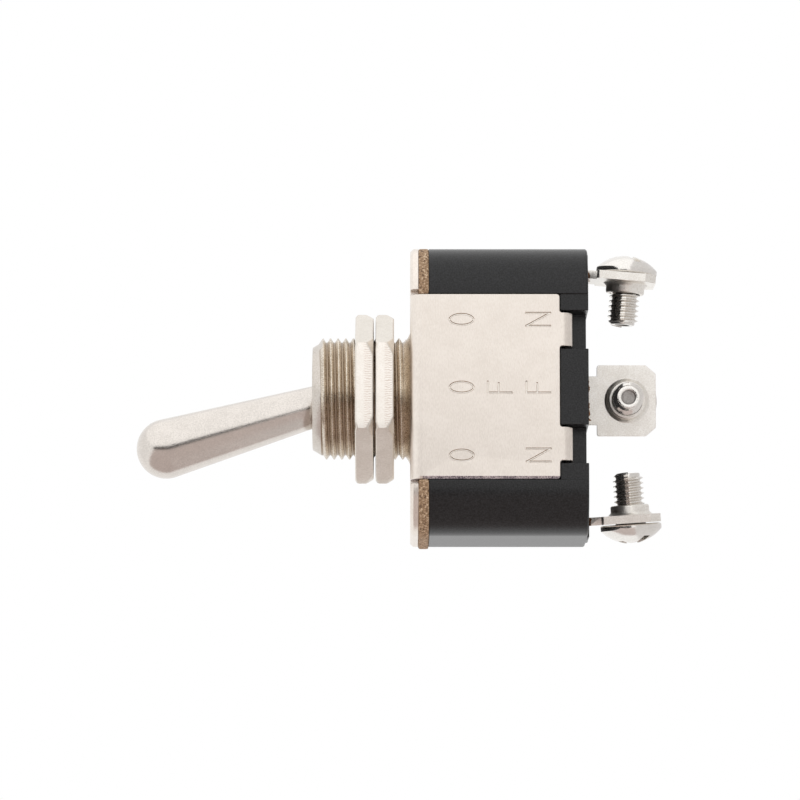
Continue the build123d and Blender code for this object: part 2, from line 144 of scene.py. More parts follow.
floor_low = -65 * mm
floor_radius = 0.2
floor_colour = (0.93, 0.93, 0.93, 1)
bm = bmesh.new()
bmesh.ops.create_circle(bm, cap_ends=True, segments=96, radius=floor_radius)
floor_mesh = bpy.data.meshes.new("floor")
bm.to_mesh(floor_mesh)
bm.free()
floor_mesh.transform(Matrix.Translation((0, 0, floor_low)))
floor = bpy.data.objects.new("floor", floor_mesh)
bpy.context.scene.collection.objects.link(floor)
floor_finish = new_material("floor_paint", Base_Color=floor_colour, Roughness=0.8)
tree = floor_finish.node_tree
side = tree.nodes.new("ShaderNodeNewGeometry")
gone = tree.nodes.new("ShaderNodeBsdfTransparent")
one_sided = tree.nodes.new("ShaderNodeMixShader")
tree.links.new(side.outputs["Backfacing"], one_sided.inputs[0])
tree.links.new(tree.nodes["Principled BSDF"].outputs["BSDF"], one_sided.inputs[1])
tree.links.new(gone.outputs["BSDF"], one_sided.inputs[2])
tree.links.new(one_sided.outputs["Shader"], tree.nodes["Material Output"].inputs["Surface"])
floor_mesh.materials.append(floor_finish)


def card(name, low, high, distance, wide, shade, left_of=None):
    """A matt card between two elevations, out of the camera's sight, centred or left of a line."""
    axes, place = facing_switch((low + high) / 2, distance)
    tall = 2 * distance * tan((high - low) / 2)
    if left_of is not None:
        place = place - picture_right * (left_of + wide / 2)
    bm = bmesh.new()
    bmesh.ops.create_grid(bm, x_segments=1, y_segments=1, size=0.5)
    bmesh.ops.scale(bm, vec=(wide, tall, 1), verts=bm.verts)
    bmesh.ops.transform(bm, matrix=Matrix.Translation(place) @ axes, verts=bm.verts)
    mesh = bpy.data.meshes.new(name)
    bm.to_mesh(mesh)
    bm.free()
    mesh.materials.append(new_material(name, Base_Color=(*shade, 1), Roughness=1.0))
    made = bpy.data.objects.new(name, mesh)
    made.visible_camera = False
    bpy.context.scene.collection.objects.link(made)


card("grey_card", low=radians(-105), high=radians(1), distance=0.8, wide=2.6, shade=(0.68, 0.59, 0.565))
card("black_card", low=radians(-4), high=radians(9), distance=0.16, wide=0.22, shade=(0.01, 0.01, 0.01),
     left_of=-16 * mm)


# Frame: nickel-plated steel strip, stamped and folded over the case. The words ON, OFF and ON are
# struck into the front arm before folding, as shallow grooves with sloping walls. The walls that face
# away from the lamp are brown, as painted shade, and the floors and the other walls a lighter nickel,
# as painted highlight. The arm's lower edge is rolled over where it was sheared, and its rolled strip
# is given a darker nickel with dark specks.
stroke = 0.31 * mm
groove_depth = 0.1 * mm
groove_slope = 0.115 * mm
letter_high = 2.62 * mm
edge_roll = 0.28 * mm
roll_depth = 0.12 * mm
arm_skin = 0.75 * mm
bend_bottom = -1.2 * mm
letter_widths = {"O": 1.38 * mm, "N": 1.58 * mm, "F": 1.38 * mm}
letter_rows = (-4.97 * mm, -8.67 * mm, -12.41 * mm)
word_columns = {6.55 * mm: "O N", -0.1 * mm: "OFF", -6.75 * mm: "O N"}
arm_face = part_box("frame")[0].y
face_reach = arm_face + 0.02 * mm
wall_shade_slot, edge_slot, highlight_slot = 1, 2, 3
square_to_y = 0.9999


def add_bump(material, height, depth, strength):
    """Feeds a height into the shader's normal, as relief of the given depth."""
    tree = material.node_tree
    bump = tree.nodes.new("ShaderNodeBump")
    set_sockets(bump, Strength=strength, Distance=depth)
    tree.links.new(height, bump.inputs["Height"])
    tree.links.new(bump.outputs["Normal"], tree.nodes["Principled BSDF"].inputs["Normal"])


def plated(name, light, shade, roughness, relief, lay=(1, 1, 1)):
    """Plated metal: drifts and specks of tone, uneven gloss and a fine relief that follows its lay."""
    made = new_material(name, Metallic=1.0)
    tree = made.node_tree
    shader = tree.nodes["Principled BSDF"]
    place = tree.nodes.new("ShaderNodeTexCoord")
    drift = tree.nodes.new("ShaderNodeTexNoise")
    set_sockets(drift, Scale=400, Detail=8.0, Roughness=0.8)
    mapping = tree.nodes.new("ShaderNodeMapping")
    set_sockets(mapping, Scale=lay)
    specks = tree.nodes.new("ShaderNodeTexNoise")
    set_sockets(specks, Scale=8000, Detail=2.0)
    both = tree.nodes.new("ShaderNodeMix")
    set_sockets(both, Factor=0.5)
    tone = tree.nodes.new("ShaderNodeValToRGB")
    tone.color_ramp.elements[0].position = 0.42
    tone.color_ramp.elements[0].color = (*shade, 1)
    tone.color_ramp.elements[1].position = 0.58
    tone.color_ramp.elements[1].color = (*light, 1)
    gloss = tree.nodes.new("ShaderNodeMapRange")
    set_sockets(gloss, To_Min=roughness * 0.7, To_Max=roughness * 1.3)
    tree.links.new(place.outputs["Object"], drift.inputs["Vector"])
    tree.links.new(place.outputs["Object"], mapping.inputs["Vector"])
    tree.links.new(mapping.outputs["Vector"], specks.inputs["Vector"])
    tree.links.new(drift.outputs["Fac"], both.inputs["A"])
    tree.links.new(specks.outputs["Fac"], both.inputs["B"])
    tree.links.new(both.outputs["Result"], tone.inputs["Fac"])
    tree.links.new(tone.outputs["Color"], shader.inputs["Base Color"])
    tree.links.new(specks.outputs["Fac"], gloss.inputs["Value"])
    tree.links.new(gloss.outputs["Result"], shader.inputs["Roughness"])
    add_bump(made, specks.outputs["Fac"], depth=relief, strength=1.0)
    return made


def copied_node(name):
    """The merged mesh of a node, with its flat faces made whole."""
    bm = bmesh.new()
    bm.from_mesh(frame["nodes"][name].data)
    bmesh.ops.remove_doubles(bm, verts=bm.verts, dist=0.0005 * mm)
    bmesh.ops.dissolve_limit(bm, angle_limit=radians(1), verts=bm.verts, edges=bm.edges)
    return bm


def round_off(bm, edges, width, segments):
    """Rounds the given edges."""
    bmesh.ops.bevel(bm, geom=edges, offset=width, offset_type="OFFSET", affect="EDGES", segments=segments,
                    profile=0.5, material=-1, clamp_overlap=True)


def soften_edges(bm, width, sharpest=25, segments=2):
    """Rounds every edge that turns by more than the given angle."""
    edges = [e for e in bm.edges if len(e.link_faces) == 2 and e.calc_face_angle() > radians(sharpest)]
    round_off(bm, edges, width, segments)


def finished(bm, name, body, material, smooth=35):
    """Turns a bmesh into a piece that rides on a body, with flats left sharp."""
    bmesh.ops.remove_doubles(bm, verts=bm.verts, dist=0.0002 * mm)
    bmesh.ops.recalc_face_normals(bm, faces=bm.faces)
    mesh = bpy.data.meshes.new(name)
    bm.to_mesh(mesh)
    bm.free()
    mesh.shade_smooth()
    mesh.set_sharp_from_angle(angle=radians(smooth))
    mesh.materials.append(material)
    piece = bpy.data.objects.new(name, mesh)
    bpy.context.scene.collection.objects.link(piece)
    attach(piece, body)
    return piece


def even_shading(piece):
    """Keeps flat faces flat beside their rounded edges."""
    weighted = piece.modifiers.new("even_shading", "WEIGHTED_NORMAL")
    weighted.keep_sharp = True
    weighted.weight = 100


def groove_bar(bm, start, end):
    """One straight stroke, as a cutter that narrows towards its bottom."""
    run = Vector(end) - Vector(start)
    middle = (Vector(start) + Vector(end)) / 2
    bar = bmesh.ops.create_cube(bm, size=1)["verts"]
    for v in bar:
        narrow = groove_slope * 2 if v.co.z < 0 else 0
        v.co = Vector((v.co.x * (run.length + stroke - narrow), v.co.y * (stroke - narrow),
                       v.co.z * 2 * groove_depth))
    turn = Matrix.Rotation(-Vector((1, 0)).angle_signed(run.normalized()), 4, "Z")
    bmesh.ops.transform(bm, matrix=Matrix.Translation(middle.to_3d()) @ turn, verts=bar)


def groove_ring(bm, wide):
    """The letter O, as an upright oval ring that narrows towards its bottom."""
    section = ((0, groove_depth), (stroke, groove_depth), (stroke - groove_slope, -groove_depth),
               (groove_slope, -groove_depth))
    loops = []
    for inset, level in section:
        oval = Matrix.Diagonal((wide / 2 - inset, letter_high / 2 - inset, 1, 1))
        place = Matrix.Translation((0, 0, level)) @ oval
        circle = bmesh.ops.create_circle(bm, segments=48, radius=1, matrix=place)
        loops.append(list({e for v in circle["verts"] for e in v.link_edges}))
    for first, second in zip(loops, loops[1:] + loops[:1]):
        bmesh.ops.bridge_loops(bm, edges=first + second)


def letter_cutter(letter):
    """A letter in the XY plane, upright along Y, its walls on one side marked for painted shade."""
    wide = letter_widths[letter]
    w, h = (wide - stroke) / 2, (letter_high - stroke) / 2
    bm = bmesh.new()
    if letter == "O":
        groove_ring(bm, wide)
    strokes = {
        "O": [],
        "N": [((-w, -h), (-w, h)), ((-w, h), (w, -h)), ((w, -h), (w, h))],
        "F": [((-w, -h), (-w, h)), ((-w, h), (w, h)), ((-w, 0.1 * h), (0.7 * w, 0.1 * h))],
    }[letter]
    for start, end in strokes:
        groove_bar(bm, start, end)
    bmesh.ops.recalc_face_normals(bm, faces=bm.faces)
    # Walls that will face away from the lamp get brown, as painted shade; the floor and the other walls
    # get a lighter nickel, as painted highlight.
    for f in bm.faces:
        f.material_index = wall_shade_slot if f.normal.x > 0.2 else highlight_slot
    return bm


def cut_away(piece, tool_bm, smooth):
    """Cuts the shape of a bmesh out of a piece, and shades its faces that are square to Y flat."""
    tool_mesh = bpy.data.meshes.new("tool")
    tool_bm.to_mesh(tool_mesh)
    tool_bm.free()
    tool = bpy.data.objects.new("tool", tool_mesh)
    bpy.context.scene.collection.objects.link(tool)
    cut = piece.modifiers.new("cut", "BOOLEAN")
    cut.operation = "DIFFERENCE"
    cut.solver = "EXACT"
    cut.use_self = True
    cut.object = tool
    graph = bpy.context.evaluated_depsgraph_get()
    cut_mesh = bpy.data.meshes.new_from_object(piece.evaluated_get(graph))
    piece.modifiers.remove(cut)
    piece.data = cut_mesh
    cut_mesh.shade_smooth()
    cut_mesh.set_sharp_from_angle(angle=radians(smooth))
    for f in cut_mesh.polygons:
        f.use_smooth = abs(f.normal.y) < square_to_y
    bpy.data.objects.remove(tool)


frame_nickel = plated("frame_nickel", light=(0.885, 0.815, 0.745), shade=(0.80, 0.73, 0.66),
                      roughness=0.32, relief=0.006 * mm, lay=(0.35, 1, 1))
# A lighter nickel for the grooves' floors and upward walls, as painted highlight, and a brown for the
# downward walls, as painted shade.
struck_floor = plated("struck_floor", light=(0.97, 0.93, 0.88), shade=(0.92, 0.87, 0.80),
                      roughness=0.4, relief=0.004 * mm)
struck_walls = plated("struck_walls", light=(0.44, 0.29, 0.17), shade=(0.25, 0.15, 0.075),
                      roughness=0.6, relief=0.004 * mm)
sheared_edge = plated("sheared_edge", light=(0.86, 0.79, 0.80), shade=(0.12, 0.10, 0.14),
                      roughness=0.45, relief=0.02 * mm)
bm = copied_node("frame")
roll_from = min(v.co.x for v in bm.verts if v.co.y < face_reach) + edge_roll
bmesh.ops.bisect_plane(bm, geom=bm.verts[:] + bm.edges[:] + bm.faces[:], plane_co=(roll_from, 0, 0),
                       plane_no=(1, 0, 0))
for v in bm.verts:
    if v.co.x < roll_from and v.co.y < face_reach:
        v.co.y += roll_depth * (roll_from - v.co.x) / edge_roll
# The rolled strip takes a darker nickel with dark specks.
for f in bm.faces:
    middle = f.calc_center_median()
    if middle.x < roll_from and middle.y < arm_face + arm_skin and middle.z < bend_bottom:
        f.material_index = edge_slot
soften_edges(bm, width=0.06 * mm, sharpest=35)
frame_plate = finished(bm, "frame_plate", "housing", frame_nickel, smooth=10)
for extra in (struck_walls, sheared_edge, struck_floor):
    frame_plate.data.materials.append(extra)
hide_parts("frame")

letters = bmesh.new()
for column, word in word_columns.items():
    for row, letter in zip(letter_rows, word):
        if letter == " ":
            continue
        bm = letter_cutter(letter)
        place = Matrix.Translation((column, arm_face, row)) @ Matrix.Rotation(radians(90), 4, "X")
        bmesh.ops.transform(bm, matrix=place, verts=bm.verts)
        one_letter = bpy.data.meshes.new("one_letter")
        bm.to_mesh(one_letter)
        bm.free()
        letters.from_mesh(one_letter)
        bpy.data.meshes.remove(one_letter)
cut_away(frame_plate, letters, smooth=10)
even_shading(frame_plate)

# Gasket: pressed fibre sheet between the frame and the case, tan with dark-brown specks and a
# rough cut edge. The case's rim presses it flat.
fibre_tan = (0.42, 0.27, 0.16)
fibre_dark = (0.045, 0.025, 0.015)
fibre_light = (0.85, 0.66, 0.46)


def varied_colour(material, scale, stops, roughness=0.5):
    """Runs a noise on object coordinates through a colour ramp, and returns the noise's height."""
    tree = material.node_tree
    place = tree.nodes.new("ShaderNodeTexCoord")
    noise = tree.nodes.new("ShaderNodeTexNoise")
    set_sockets(noise, Scale=scale, Detail=6.0, Roughness=roughness)
    ramp = tree.nodes.new("ShaderNodeValToRGB")
    while len(ramp.color_ramp.elements) < len(stops):
        ramp.color_ramp.elements.new(0.5)
    for element, (position, colour) in zip(ramp.color_ramp.elements, stops):
        element.position = position
        element.color = (*colour, 1)
    tree.links.new(place.outputs["Object"], noise.inputs["Vector"])
    tree.links.new(noise.outputs["Fac"], ramp.inputs["Fac"])
    tree.links.new(ramp.outputs["Color"], tree.nodes["Principled BSDF"].inputs["Base Color"])
    return noise.outputs["Fac"]


fibre = new_material("pressed_fibre", Roughness=0.85)
specks = [(0.38, fibre_dark), (0.46, fibre_tan), (0.54, fibre_tan), (0.60, fibre_light)]
fibre_height = varied_colour(fibre, scale=4200, stops=specks, roughness=0.7)
add_bump(fibre, fibre_height, depth=0.05 * mm, strength=0.8)
bm = copied_node("gasket")
soften_edges(bm, width=0.18 * mm, segments=3)
gasket_sheet = finished(bm, "gasket_sheet", "housing", fibre)
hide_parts("gasket")
even_shading(gasket_sheet)

# Case: black phenolic moulding with a fine matt grain. Its edges are slightly rounded where the
# mould closes.
grain_black = (0.001, 0.001, 0.001)
grain_grey = (0.020, 0.020, 0.022)
phenolic = new_material("phenolic", Roughness=0.30, Specular_IOR_Level=0.42)
grain = varied_colour(phenolic, scale=7000, stops=[(0.35, grain_black), (0.65, grain_grey)])
add_bump(phenolic, grain, depth=0.012 * mm, strength=1.0)
bm = copied_node("case")
soften_edges(bm, width=0.1 * mm)
case_body = finished(bm, "case_body", "housing", phenolic)
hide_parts("case")
even_shading(case_body)

# Bushing: turned brass with thin nickel plate, threaded M12 x 0.75 between a tapered lip and a
# foot that flares onto the frame. Its thread's roots are browned towards the axis, as painted shade.
thread_crest = 5.985 * mm
thread_root = 5.56 * mm
thread_pitch = 0.75 * mm
thread_top = 9.05 * mm
thread_sunk = 0.08 * mm
stake_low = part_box("bushing")[0].z
stake_radius = 5.75 * mm
stake_bore = 4.6 * mm
sheet = 0.8 * mm
hole_radius = 5.3 * mm
foot_radius = 6.5 * mm
waist_radius = 6.0 * mm
waist_height = 0.24 * mm
foot_top = 0.66 * mm
foot_break = 0.1 * mm
foot_drop = 0.12 * mm
lip_base = 8.75 * mm
lip_radius = 5.05 * mm
bushing_front = 9.6 * mm
bore = 3.55 * mm
bore_low = 2.2 * mm
bore_high = 7.42 * mm
mouth = 3.1 * mm
mouth_low = 8.66 * mm
mouth_break = 0.25 * mm
bushing_metal = plated("bushing_nickel", light=(0.70, 0.65, 0.60), shade=(0.58, 0.53, 0.475),
                       roughness=0.30, relief=0.006 * mm)
thread_metal = plated("bushing_thread", light=(0.82, 0.74, 0.64), shade=(0.52, 0.445, 0.355),
                      roughness=0.28, relief=0.012 * mm)
root_shade = (0.36, 0.28, 0.205, 1)
shade_to = thread_root + 0.22 * (thread_crest - thread_root)
outer_wall = thread_root * 0.98


def stain_and_shade(material, share, colour):
    """Mixes a colour into a material's base colour, by the share that a socket gives; used for real stains
    and for painted shade.
    """
    tree = material.node_tree
    shader = tree.nodes["Principled BSDF"]
    blend = tree.nodes.new("ShaderNodeMix")
    blend.data_type = "RGBA"
    blend.inputs["B"].default_value = colour
    tree.links.new(share, blend.inputs["Factor"])
    tree.links.new(shader.inputs["Base Color"].links[0].from_socket, blend.inputs["A"])
    tree.links.new(blend.outputs["Result"], shader.inputs["Base Color"])


def shade_roots(material):
    """Browns a thread's roots as painted shade, by their distance from the bushing's axis."""
    tree = material.node_tree
    place = tree.nodes.new("ShaderNodeTexCoord")
    across = tree.nodes.new("ShaderNodeMapping")
    set_sockets(across, Scale=(1, 1, 0))
    radius = tree.nodes.new("ShaderNodeVectorMath")
    radius.operation = "LENGTH"
    depth = tree.nodes.new("ShaderNodeMapRange")
    set_sockets(depth, From_Min=thread_root, From_Max=shade_to, To_Min=1, To_Max=0)
    tree.links.new(place.outputs["Object"], across.inputs["Vector"])
    tree.links.new(across.outputs["Vector"], radius.inputs[0])
    tree.links.new(radius.outputs["Value"], depth.inputs["Value"])
    stain_and_shade(material, depth.outputs["Result"], root_shade)


shade_roots(thread_metal)


def spin_about_z(bm, geom, turns, steps, merge, climb=0.0):
    """Turns an outline about Z, climbing by the given height a step."""
    bmesh.ops.spin(bm, geom=geom, cent=(0, 0, 0), axis=(0, 0, 1), dvec=(0, 0, climb), angle=turns * 2 * pi,
                   steps=steps, use_merge=merge)


def lathe(profile, steps=96, closed=True):
    """Turns a profile of (radius, height) points about Z."""
    bm = bmesh.new()
    verts = [bm.verts.new((r, 0, z)) for r, z in profile]
    pairs = list(zip(verts, verts[1:])) + ([(verts[-1], verts[0])] if closed else [])
    edges = [bm.edges.new(pair) for pair in pairs]
    spin_about_z(bm, verts + edges, 1, steps, merge=True)
    bmesh.ops.remove_doubles(bm, verts=bm.verts, dist=0.0005 * mm)
    return bm


def thread_ridge(bm, root, crest, pitch, start, end, runout, steps):
    """A screw thread from start to end along Z, sunk a little into its core and faded at its ends."""
    base = root - thread_sunk
    turns = (end - start - pitch) / pitch
    base_half = 0.48 * pitch
    crest_half = 0.06 * pitch
    section = [(base, -base_half), (crest, -crest_half), (crest, crest_half), (base, base_half)]
    middle = start + pitch / 2
    verts = [bm.verts.new((r, 0, middle + z)) for r, z in section]
    edges = [bm.edges.new((verts[i], verts[(i + 1) % 4])) for i in range(4)]
    bm.faces.new(verts)
    before = set(bm.verts)
    spin_about_z(bm, verts + edges, turns, round(turns * steps), merge=False, climb=pitch / steps)
    new = [v for v in bm.verts if v not in before] + verts
    last = [v for v in new if len(v.link_faces) == 2 and v not in verts]
    inner = sorted((v for v in last if v.co.xy.length <= root), key=lambda v: -v.co.z)
    outer = sorted((v for v in last if v.co.xy.length > root), key=lambda v: v.co.z)
    bm.faces.new(inner + outer)
    for v in new:
        radius = v.co.xy.length
        if radius > root:
            fade = min(1, (v.co.z - start) / (runout * pitch), (end - v.co.z) / (runout * pitch))
            v.co.xy = v.co.xy / radius * (base + (radius - base) * max(0.0, fade))


bm = lathe([
    (stake_bore, stake_low), (stake_radius, stake_low), (stake_radius, -sheet), (hole_radius, -sheet),
    (hole_radius, 0), (foot_radius, 0), (waist_radius, waist_height),
    (thread_root + foot_break, foot_top - foot_drop), (thread_root, foot_top + foot_break),
    (thread_root, lip_base), (lip_radius, bushing_front), (mouth + mouth_break, bushing_front),
    (mouth, bushing_front - mouth_break), (mouth, mouth_low), (bore, bore_high), (bore, bore_low),
    (stake_bore, bore_low)], steps=128)
soften_edges(bm, width=0.06 * mm)
thread_ridge(bm, thread_root, thread_crest, thread_pitch, 0, thread_top, runout=0.6, steps=64)
for f in bm.faces:
    middle = f.calc_center_median()
    if 0 < middle.z < lip_base and middle.xy.length > outer_wall:
        f.material_index = 1
bushing_body = finished(bm, "bushing_body", "housing", bushing_metal, smooth=30)
bushing_body.data.materials.append(thread_metal)
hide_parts("bushing")
even_shading(bushing_body)

# Nuts: two thin hexagon nuts, punched from strip and nickel-plated, with corners rounded by a
# deep chamfer on the side towards the panel and a shallow one in front. Both are run down the
# bushing so that one backs the panel and the other clamps it.
nut_turn = radians(2.4)
half_flats = 7.35 * mm
nut_corner = half_flats / cos(radians(30))
nut_bore = 6.03 * mm
bore_break = 0.3 * mm
rear_face_radius = 7.95 * mm
rear_slope = 1.2
front_face_radius = 8.15 * mm
front_slope = 0.6
edge_round = 0.16 * mm
corner_round = 0.02 * mm
edge_from = nut_corner - 1.01 * edge_round
edge_clear = 1.1 * edge_round
facing_front = 0.98
mark_spacing = 0.22 * mm
mark_low = 0.2 * mm
mark_high = 0.9 * mm
nut_metal = plated("nut_nickel", light=(0.84, 0.79, 0.725), shade=(0.73, 0.68, 0.61),
                   roughness=0.32, relief=0.009 * mm)
worn_tan = (0.74, 0.65, 0.58, 1)


def spanner_marks(material, low, high):
    """Short tan rubs between two heights, side by side across a nut's flat."""
    tree = material.node_tree
    place = tree.nodes.new("ShaderNodeTexCoord")
    split = tree.nodes.new("ShaderNodeSeparateXYZ")
    rubs = tree.nodes.new("ShaderNodeTexWave")
    set_sockets(rubs, Scale=pi / 10 / mark_spacing, Distortion=6.0, Detail=2.0, Detail_Scale=1.5)
    rubbed = tree.nodes.new("ShaderNodeMapRange")
    set_sockets(rubbed, From_Min=0.55, From_Max=0.8)
    above = tree.nodes.new("ShaderNodeMapRange")
    set_sockets(above, From_Min=low - 0.05 * mm, From_Max=low + 0.05 * mm)
    below = tree.nodes.new("ShaderNodeMapRange")
    set_sockets(below, From_Min=high + 0.1 * mm, From_Max=high - 0.1 * mm)
    within = tree.nodes.new("ShaderNodeMath")
    within.operation = "MULTIPLY"
    share = tree.nodes.new("ShaderNodeMath")
    share.operation = "MULTIPLY"
    tree.links.new(place.outputs["Object"], split.inputs["Vector"])
    tree.links.new(place.outputs["Object"], rubs.inputs["Vector"])
    tree.links.new(rubs.outputs["Fac"], rubbed.inputs["Value"])
    tree.links.new(split.outputs["Z"], above.inputs["Value"])
    tree.links.new(split.outputs["Z"], below.inputs["Value"])
    tree.links.new(above.outputs["Result"], within.inputs[0])
    tree.links.new(below.outputs["Result"], within.inputs[1])
    tree.links.new(within.outputs["Value"], share.inputs[0])
    tree.links.new(rubbed.outputs["Result"], share.inputs[1])
    stain_and_shade(material, share.outputs["Value"], worn_tan)


def hexagon_reach(corner):
    """Distance from the axis to a nut's side, in the direction of a vertex."""
    angle = Vector((1, 0)).angle_signed(corner.xy)
    return min(half_flats / cos(angle % radians(60) - radians(30)), nut_corner - corner_round)


for name, body in (("nut_rear", "rear_nut"), ("nut_front", "front_nut")):
    low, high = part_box(name)
    turns = [radians(30 * i) for i in range(4)]
    edge = [(nut_corner - edge_round * (1 - sin(a)), edge_round * (1 - cos(a))) for a in turns]
    profile = [(nut_bore, low.z + bore_break), (nut_bore + bore_break, low.z), (rear_face_radius, low.z)]
    profile += [(r, low.z + rise) for r, rise in edge]
    profile += [(r, high.z - rise) for r, rise in reversed(edge)]
    profile += [(front_face_radius, high.z), (nut_bore + bore_break, high.z),
                (nut_bore, high.z - bore_break)]
    bm = lathe(profile)
    for v in bm.verts:
        radius = v.co.xy.length
        reach = hexagon_reach(v.co)
        if radius > edge_from:
            reach -= nut_corner - radius
            if v.co.z < (low.z + high.z) / 2:
                v.co.z += max(0, reach - rear_face_radius) * rear_slope
            else:
                v.co.z -= max(0, reach - front_face_radius) * front_slope
            v.co.xy = v.co.xy / radius * reach
        else:
            v.co.xy = v.co.xy / radius * min(radius, reach - edge_clear)
    bmesh.ops.rotate(bm, verts=bm.verts, cent=(0, 0, 0), matrix=Matrix.Rotation(nut_turn, 3, "Z"))
    bm.normal_update()
    # The flat that faces the front takes a lighter nickel, as painted highlight, and carries the spanner
    # marks, which are wear.
    for f in bm.faces:
        f.material_index = 1 if abs(f.normal.y) > facing_front and f.calc_center_median().y < 0 else 0
    nut = finished(bm, name.replace("nut_", "hexagon_nut_"), body, nut_metal)
    worn_and_highlit_metal = plated("worn_" + body, light=(0.96, 0.91, 0.85), shade=(0.87, 0.81, 0.74),
                        roughness=0.32, relief=0.009 * mm)
    spanner_marks(worn_and_highlit_metal, low.z + mark_low, low.z + mark_high)
    nut.data.materials.append(worn_and_highlit_metal)
    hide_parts(name)
    even_shading(nut)

# Lever: turned steel bat with a ball and a bored tail, one piece, polished and nickel-plated. It
# leans to one ON position at rest, towards the case's lower end in the photograph.
pivot = Vector((0, 0, 6.8 * mm))
lever_tilt = radians(16.1)
bat_taper = radians(3.5)
tip_radius = 2.94 * mm
tip_centre = 17.9 * mm
ball = 3.5 * mm
shoulder = 2.9 * mm
neck_height = 2.2 * mm
ball_underside = 1.4 * mm
tail = 1.95 * mm
tail_bore = 1.45 * mm
tail_length = 11.5 * mm
tail_bore_top = 3.0 * mm
lever_metal = plated("lever_nickel", light=(0.77, 0.72, 0.67), shade=(0.66, 0.615, 0.57),
                     roughness=0.2, relief=0.005 * mm)


def arc_points(centre_height, radius, first, last, count):
    """Points of a circle whose centre is on the axis, by elevation."""
    angles = [first + (last - first) * i / count for i in range(count + 1)]
    return [(radius * cos(a), centre_height + radius * sin(a)) for a in angles]


tangent_radius = tip_radius * cos(bat_taper)
tangent_height = tip_centre - tip_radius * sin(bat_taper)
neck_radius = tangent_radius - (tangent_height - neck_height) * tan(bat_taper)
profile = [(0, -tail_bore_top), (tail_bore, -tail_bore_top), (tail_bore, -tail_length)]
profile += [(tail, -tail_length), (tail, -ball_underside)]
profile += arc_points(0, ball, -asin(ball_underside / ball), acos(shoulder / ball), 16)
profile += [(neck_radius, neck_height)]
profile += arc_points(tip_centre, tip_radius, -bat_taper, radians(90), 24)[:-1]
profile += [(0, tip_centre + tip_radius)]
bm = lathe(profile, steps=96, closed=False)
lever_place = Matrix.Translation(pivot) @ Matrix.Rotation(-lever_tilt, 4, "Y")
bmesh.ops.transform(bm, matrix=lever_place, verts=bm.verts)
bat_lever = finished(bm, "bat_lever", "lever_arm", lever_metal)
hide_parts("lever")
even_shading(bat_lever)

# Terminals: three nickel-plated brass blades with a drawn and tapped collar. The outer two are
# bent a little towards the middle where they leave the case.
terminal_metal = plated("terminal_nickel", light=(0.97, 0.94, 0.89), shade=(0.83, 0.79, 0.73),
                        roughness=0.32, relief=0.009 * mm)
exit_brown = (0.20, 0.10, 0.05, 1)
brown_reach = 0.35 * mm


def brown_at_case_exit(material, case_rear):
    """Browns a terminal in uneven patches where it leaves the case."""
    tree = material.node_tree
    place = tree.nodes.new("ShaderNodeTexCoord")
    split = tree.nodes.new("ShaderNodeSeparateXYZ")
    patches = tree.nodes.new("ShaderNodeTexNoise")
    set_sockets(patches, Scale=1500, Detail=4.0)
    reach = tree.nodes.new("ShaderNodeMapRange")
    set_sockets(reach, From_Min=0.42, From_Max=0.62, To_Min=case_rear, To_Max=case_rear - brown_reach)
    above = tree.nodes.new("ShaderNodeMath")
    above.operation = "GREATER_THAN"
    outside = tree.nodes.new("ShaderNodeMath")
    outside.operation = "LESS_THAN"
    outside.inputs[1].default_value = case_rear + brown_reach
    share = tree.nodes.new("ShaderNodeMath")
    share.operation = "MULTIPLY"
    tree.links.new(place.outputs["Object"], split.inputs["Vector"])
    tree.links.new(place.outputs["Object"], patches.inputs["Vector"])
    tree.links.new(patches.outputs["Fac"], reach.inputs["Value"])
    tree.links.new(split.outputs["Z"], above.inputs[0])
    tree.links.new(reach.outputs["Result"], above.inputs[1])
    tree.links.new(split.outputs["Z"], outside.inputs[0])
    tree.links.new(above.outputs["Value"], share.inputs[0])
    tree.links.new(outside.outputs["Value"], share.inputs[1])
    stain_and_shade(material, share.outputs["Value"], exit_brown)


brown_at_case_exit(terminal_metal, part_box("case")[0].z)
clamp_mounts = [m for m in frame["record"]["mounts"] if "clamp" in m["name"]]
clamps = {m["name"].replace("wire_clamp_", ""): m for m in clamp_mounts}
collar_radius = 1.9 * mm
collar_depth = 1.8 * mm
collar_round = 0.22 * mm
rim_reach = 0.05 * mm
for name in ("terminal_common", "terminal_right", "terminal_left"):
    bm = copied_node(name)
    clamp = clamps[name.replace("terminal_", "")]
    seat, out = Vector(clamp["pos_m"]), Vector(clamp["axis"])
    rim = [e for e in bm.edges if all(
        abs((v.co - seat).dot(out) + collar_depth) < rim_reach
        and abs((v.co - seat).cross(out).length - collar_radius) < rim_reach for v in e.verts)]
    round_off(bm, rim, collar_round, segments=3)
    soften_edges(bm, width=0.07 * mm)
    blade = finished(bm, name.replace("terminal", "blade"), "housing", terminal_metal)
    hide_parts(name)
    even_shading(blade)

